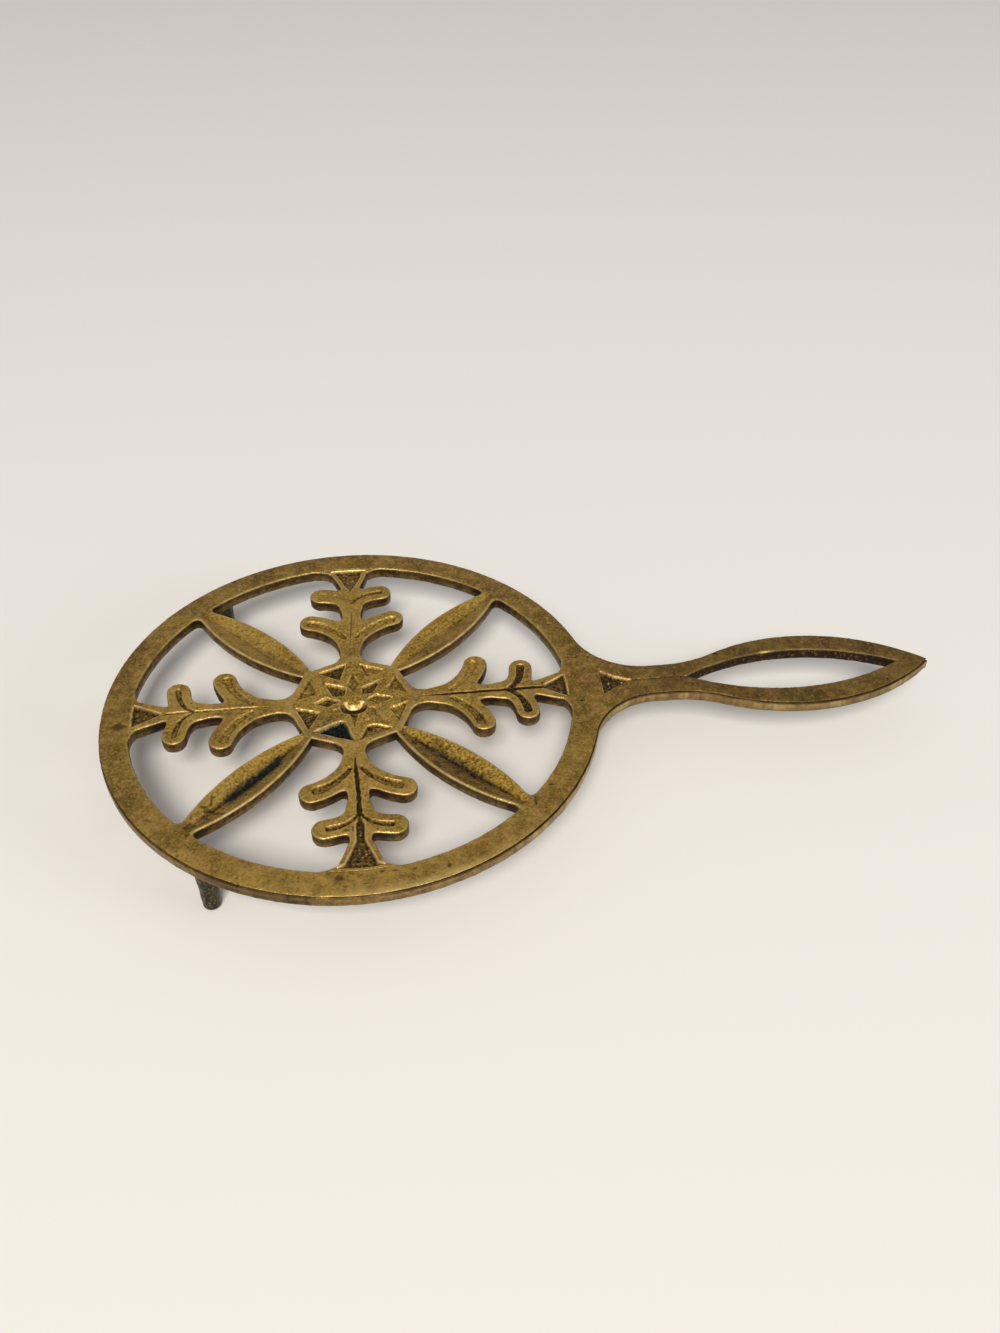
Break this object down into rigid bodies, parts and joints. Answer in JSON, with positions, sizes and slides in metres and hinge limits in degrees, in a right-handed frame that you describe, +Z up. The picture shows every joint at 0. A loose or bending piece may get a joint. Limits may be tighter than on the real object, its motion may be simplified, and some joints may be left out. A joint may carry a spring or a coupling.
{
  "type": "trivet",
  "caption": "Footed cast-brass trivet: openwork ring with oak-leaf arms and dished petals round a star hub, and a flat handle with a pointed hanging loop.",
  "frame": {"origin": "middle of the bounding box, on the table under the feet", "axes": "+X from the ring along the handle to its point, +Z up from the table, +Y to the back, away from the viewer of the picture"},
  "size_m": [0.2392, 0.14, 0.0192],
  "materials": {
    "worn_brass": "worn satin, rubbed bright on the edges",
    "cast_brass": "as cast, with dark patina in the hollows",
    "dark_brass": "dull, darkened with age"
  },
  "bodies": {
    "root": {"rim": "worn_brass", "handle": "worn_brass", "hub": "cast_brass", "leaf_arm_right": "cast_brass", "leaf_arm_back": "cast_brass", "leaf_arm_left": "cast_brass", "leaf_arm_front": "cast_brass", "petal_back_right": "cast_brass", "petal_back_left": "cast_brass", "petal_front_left": "cast_brass", "petal_front_right": "cast_brass", "foot_right": "dark_brass", "foot_back_left": "dark_brass", "foot_front_left": "dark_brass"}
  },
  "joints": []
}
